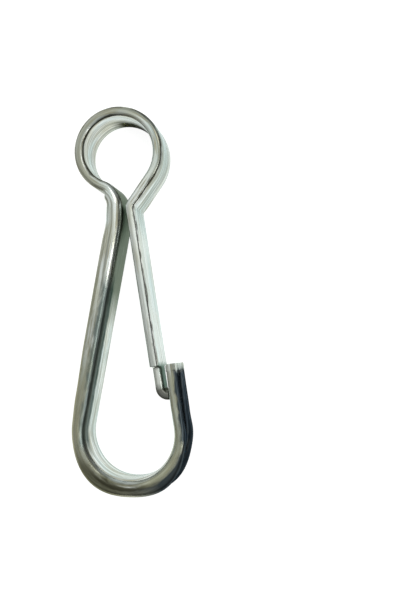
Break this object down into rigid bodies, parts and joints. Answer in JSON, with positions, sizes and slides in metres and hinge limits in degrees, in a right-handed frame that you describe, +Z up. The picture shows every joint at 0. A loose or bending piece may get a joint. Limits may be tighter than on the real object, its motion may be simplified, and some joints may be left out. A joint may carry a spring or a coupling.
{
  "type": "spring latch eye hook",
  "caption": "Snap hook bent from a strip of zinc-plated spring steel, with an eye at the top, a channelled shank, bowl and nose, and a springy latch that closes on the nose.",
  "frame": {"origin": "bottom centre of the bounding box, with the hook lying on its side", "axes": "+Y from the bowl to the eye, +X from the shank to the nose, +Z up, across the width of the strip"},
  "size_m": [0.018, 0.0602, 0.0065],
  "materials": {
    "flat_strip": "bright zinc plate over flat rolled steel strip",
    "folded_strip": "bright zinc plate over steel strip folded into a channel, slightly duller"
  },
  "bodies": {
    "hook": {"eye_loop": "flat_strip", "shank_channel": "folded_strip", "bowl_channel": "folded_strip", "nose_channel": "folded_strip", "nose_lip": "folded_strip"},
    "latch": {"latch_arm": "flat_strip", "latch_tongue": "flat_strip", "latch_toe": "flat_strip"}
  },
  "joints": [
    {"name": "latch_flex", "type": "hinge", "parent": "hook", "child": "latch", "pos_m": [0.00038, 0.01404, 0.00325], "axis": [0, 0, -1], "range_deg": [0, 16], "stiffness_Nm_per_rad": 1}
  ]
}
